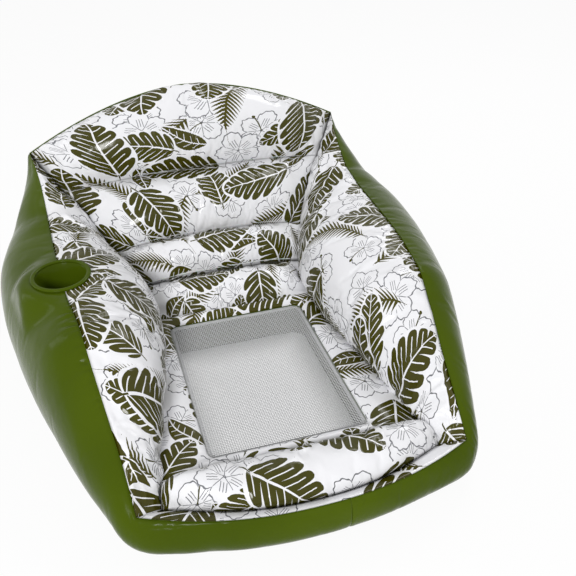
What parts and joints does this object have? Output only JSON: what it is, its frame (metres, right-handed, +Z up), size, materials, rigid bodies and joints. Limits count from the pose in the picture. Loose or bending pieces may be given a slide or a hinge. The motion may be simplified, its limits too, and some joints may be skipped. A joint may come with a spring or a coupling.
{
  "type": "inflatable pool chair",
  "caption": "Inflatable pool chair with a channelled backrest, puffed arms, a front roll, an open mesh seat and a cup holder in one arm.",
  "frame": {"origin": "on the ground, under the middle of the chair's overall box", "axes": "+Z up, -Y towards the front edge where the sitter's knees lie, +X to the sitter's left as the chair is seen from the front, so the cup holder's arm is at -X"},
  "size_m": [1.0604, 1.1965, 0.4961],
  "materials": {
    "printed_vinyl": "white PVC film with an olive leaf and flower print under its gloss",
    "green_vinyl": "glossy moss green PVC film",
    "web_vinyl": "translucent unprinted PVC film",
    "seat_mesh": "light grey woven polyester mesh with a welded edge band",
    "valve_vinyl": "clear soft moulded PVC"
  },
  "bodies": {
    "chair": {"arm_panel_left": "printed_vinyl", "arm_panel_right": "printed_vinyl", "backrest_panel": "printed_vinyl", "seat_border": "printed_vinyl", "front_roll": "printed_vinyl", "front_strip": "printed_vinyl", "side_wall_left": "green_vinyl", "side_wall_right": "green_vinyl", "back_wall": "green_vinyl", "bottom_sheet": "green_vinyl", "opening_wall": "green_vinyl", "cup_well": "green_vinyl", "cup_ring": "green_vinyl", "mesh_binding": "seat_mesh", "mesh_seat": "seat_mesh", "side_web_left": "web_vinyl", "side_web_right": "web_vinyl", "front_web": "web_vinyl", "back_web_1": "web_vinyl", "back_web_2": "web_vinyl", "back_web_3": "web_vinyl", "valve_flange_1": "valve_vinyl", "valve_flange_2": "valve_vinyl"},
    "stem_1": {"valve_stem_1": "valve_vinyl"},
    "plug_1": {"valve_plug_1": "valve_vinyl"},
    "flap_1": {"valve_flap_1": "valve_vinyl"},
    "stem_2": {"valve_stem_2": "valve_vinyl"},
    "plug_2": {"valve_plug_2": "valve_vinyl"},
    "flap_2": {"valve_flap_2": "valve_vinyl"}
  },
  "joints": [
    {"name": "stem_1_slide", "type": "slide", "parent": "chair", "child": "stem_1", "axis": [-0.0033, 0.9986, 0.0524], "range_m": [0, 0.008]},
    {"name": "plug_1_hinge", "type": "hinge", "parent": "stem_1", "child": "plug_1", "pos_m": [-0.08376, 0.59749, 0.21228], "axis": [-1, -0.0033, -0.0002], "range_deg": [0, 150]},
    {"name": "flap_1_hinge", "type": "hinge", "parent": "stem_1", "child": "flap_1", "pos_m": [-0.0837, 0.57986, 0.22758], "axis": [-1, -0.0033, -0.0002], "range_deg": [0, 60]},
    {"name": "stem_2_slide", "type": "slide", "parent": "chair", "child": "stem_2", "axis": [0.0181, 0.9853, 0.17], "range_m": [0, 0.008]},
    {"name": "plug_2_hinge", "type": "hinge", "parent": "stem_2", "child": "plug_2", "pos_m": [0.08292, 0.58637, 0.33057], "axis": [-0.9998, 0.0178, 0.0031], "range_deg": [0, 150]},
    {"name": "flap_2_hinge", "type": "hinge", "parent": "stem_2", "child": "flap_2", "pos_m": [0.08262, 0.56706, 0.34368], "axis": [-0.9998, 0.0178, 0.0031], "range_deg": [0, 60]}
  ]
}
